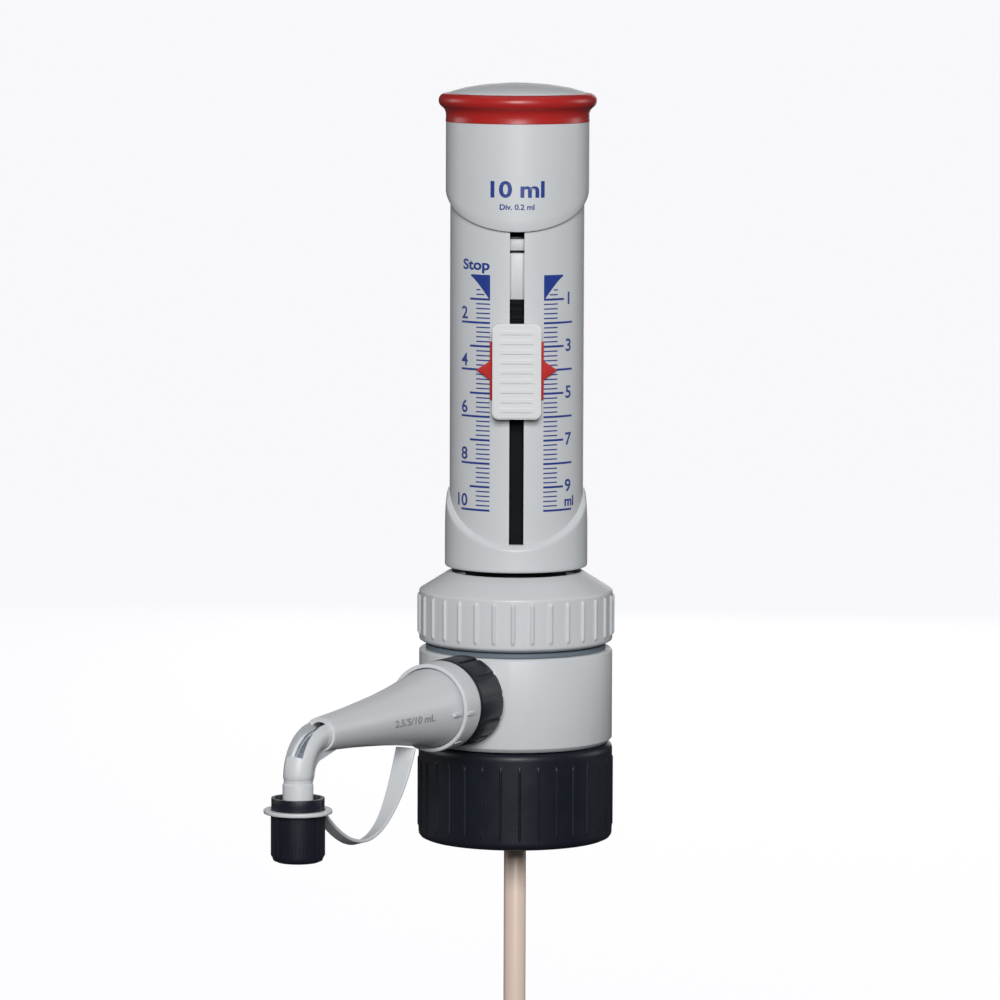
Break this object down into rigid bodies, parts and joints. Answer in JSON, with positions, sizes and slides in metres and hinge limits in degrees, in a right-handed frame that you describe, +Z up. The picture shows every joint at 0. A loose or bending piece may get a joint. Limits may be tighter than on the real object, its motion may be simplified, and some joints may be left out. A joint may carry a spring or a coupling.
{
  "type": "bottle-top dispenser",
  "caption": "Bottle-top piston dispenser: ribbed collar, swivelling valve block, slotted plunger with volume slider, and a side jet with a strapped cap.",
  "frame": {"origin": "centre of the plane where the bottle's rim meets the gasket, on the main axis", "axes": "+Z up along the plunger, -Y towards the scale; the jet points 29 degrees from -Y towards -X"},
  "size_m": [0.0911, 0.1357, 0.396],
  "materials": {
    "black_plastic": "moulded, slightly satin",
    "grey_plastic": "moulded, satin",
    "white_plastic": "moulded, satin",
    "red_plastic": "moulded, glossy",
    "slate_rubber": "matt",
    "fluoropolymer": "waxy white",
    "beige_tube": "translucent beige tube",
    "clear_tube": "clear polymer tube",
    "glass": "clear borosilicate glass",
    "ruby": "polished synthetic ruby",
    "spring_steel": "bright steel"
  },
  "bodies": {
    "collar": {"bottle_collar": "black_plastic", "bottle_gasket": "fluoropolymer"},
    "valve_body": {"valve_block": "grey_plastic", "swivel_ring": "white_plastic", "nut_gasket": "slate_rubber", "barrel_seal": "fluoropolymer", "intake_valve_body": "fluoropolymer", "intake_tube": "beige_tube", "discharge_valve_body": "fluoropolymer", "discharge_spring": "spring_steel"},
    "intake_ball": {"intake_ball": "ruby"},
    "discharge_ball": {"discharge_ball": "ruby"},
    "barrel": {"glass_barrel": "glass", "barrel_jacket": "black_plastic", "stop_collar": "white_plastic", "collar_lock_ring": "white_plastic"},
    "ring_nut": {"ring_nut": "grey_plastic"},
    "plunger": {"lower_shell": "grey_plastic", "scale_sleeve": "grey_plastic", "detent_rack": "white_plastic", "upper_shell": "grey_plastic", "knob_ring": "red_plastic", "top_disc": "grey_plastic", "plunger_rod": "black_plastic", "piston": "fluoropolymer", "piston_seal": "fluoropolymer", "calibration_nut": "spring_steel", "calibration_locknut": "spring_steel"},
    "slider": {"slider_carriage": "white_plastic", "pointer_plate": "red_plastic"},
    "button": {"slider_button": "white_plastic", "slider_spring": "spring_steel"},
    "jet": {"jet_ring": "grey_plastic", "jet_cover": "grey_plastic", "delivery_tube": "clear_tube", "strap_band": "grey_plastic"},
    "jet_nut": {"jet_nut": "black_plastic"},
    "cap": {"closure_cap": "black_plastic", "strap_ring": "grey_plastic"}
  },
  "joints": [
    {"name": "block_swivel", "type": "hinge", "parent": "collar", "child": "valve_body", "pos_m": [0, 0, 0.004], "axis": [0, 0, 1], "continuous": true},
    {"name": "intake_ball_lift", "type": "slide", "parent": "valve_body", "child": "intake_ball", "axis": [0, 0, 1], "range_m": [0, 0.001]},
    {"name": "discharge_ball_lift", "type": "slide", "parent": "valve_body", "child": "discharge_ball", "axis": [-0.4848, -0.8746, 0], "range_m": [0, 0.001], "stiffness_N_per_m": 20, "springref_m": -0.0005, "deforming": ["discharge_spring"]},
    {"name": "barrel_lift", "type": "slide", "parent": "valve_body", "child": "barrel", "axis": [0, 0, 1], "range_m": [0, 0.009]},
    {"name": "ring_nut_turn", "type": "hinge", "parent": "barrel", "child": "ring_nut", "pos_m": [0, 0, 0.0416], "axis": [0, 0, 1], "range_deg": [0, 1081.2]},
    {"name": "plunger_lift", "type": "slide", "parent": "barrel", "child": "plunger", "axis": [0, 0, 1], "range_m": [0, 0.063]},
    {"name": "slider_set", "type": "slide", "parent": "plunger", "child": "slider", "axis": [0, 0, 1], "range_m": [-0.0378, 0.0252]},
    {"name": "button_press", "type": "slide", "parent": "slider", "child": "button", "axis": [0, 1, 0], "range_m": [0, 0.001], "stiffness_N_per_m": 400, "deforming": ["slider_spring"]},
    {"name": "jet_pull", "type": "slide", "parent": "valve_body", "child": "jet", "axis": [-0.4848, -0.8746, 0], "range_m": [0, 0.006]},
    {"name": "jet_nut_turn", "type": "hinge", "parent": "jet", "child": "jet_nut", "pos_m": [-0.01629, -0.02939, 0.0194], "axis": [-0.4848, -0.8746, 0], "range_deg": [0, 1081.2]},
    {"name": "cap_pull", "type": "slide", "parent": "jet", "child": "cap", "axis": [0, 0, -1], "range_m": [0, 0.02], "deforming": ["strap_band"]}
  ],
  "couplings": [
    {"joint": "ring_nut_turn", "follows": "barrel_lift", "rad_per_m": 2094.4},
    {"joint": "jet_nut_turn", "follows": "jet_pull", "rad_per_m": 3141.6}
  ]
}
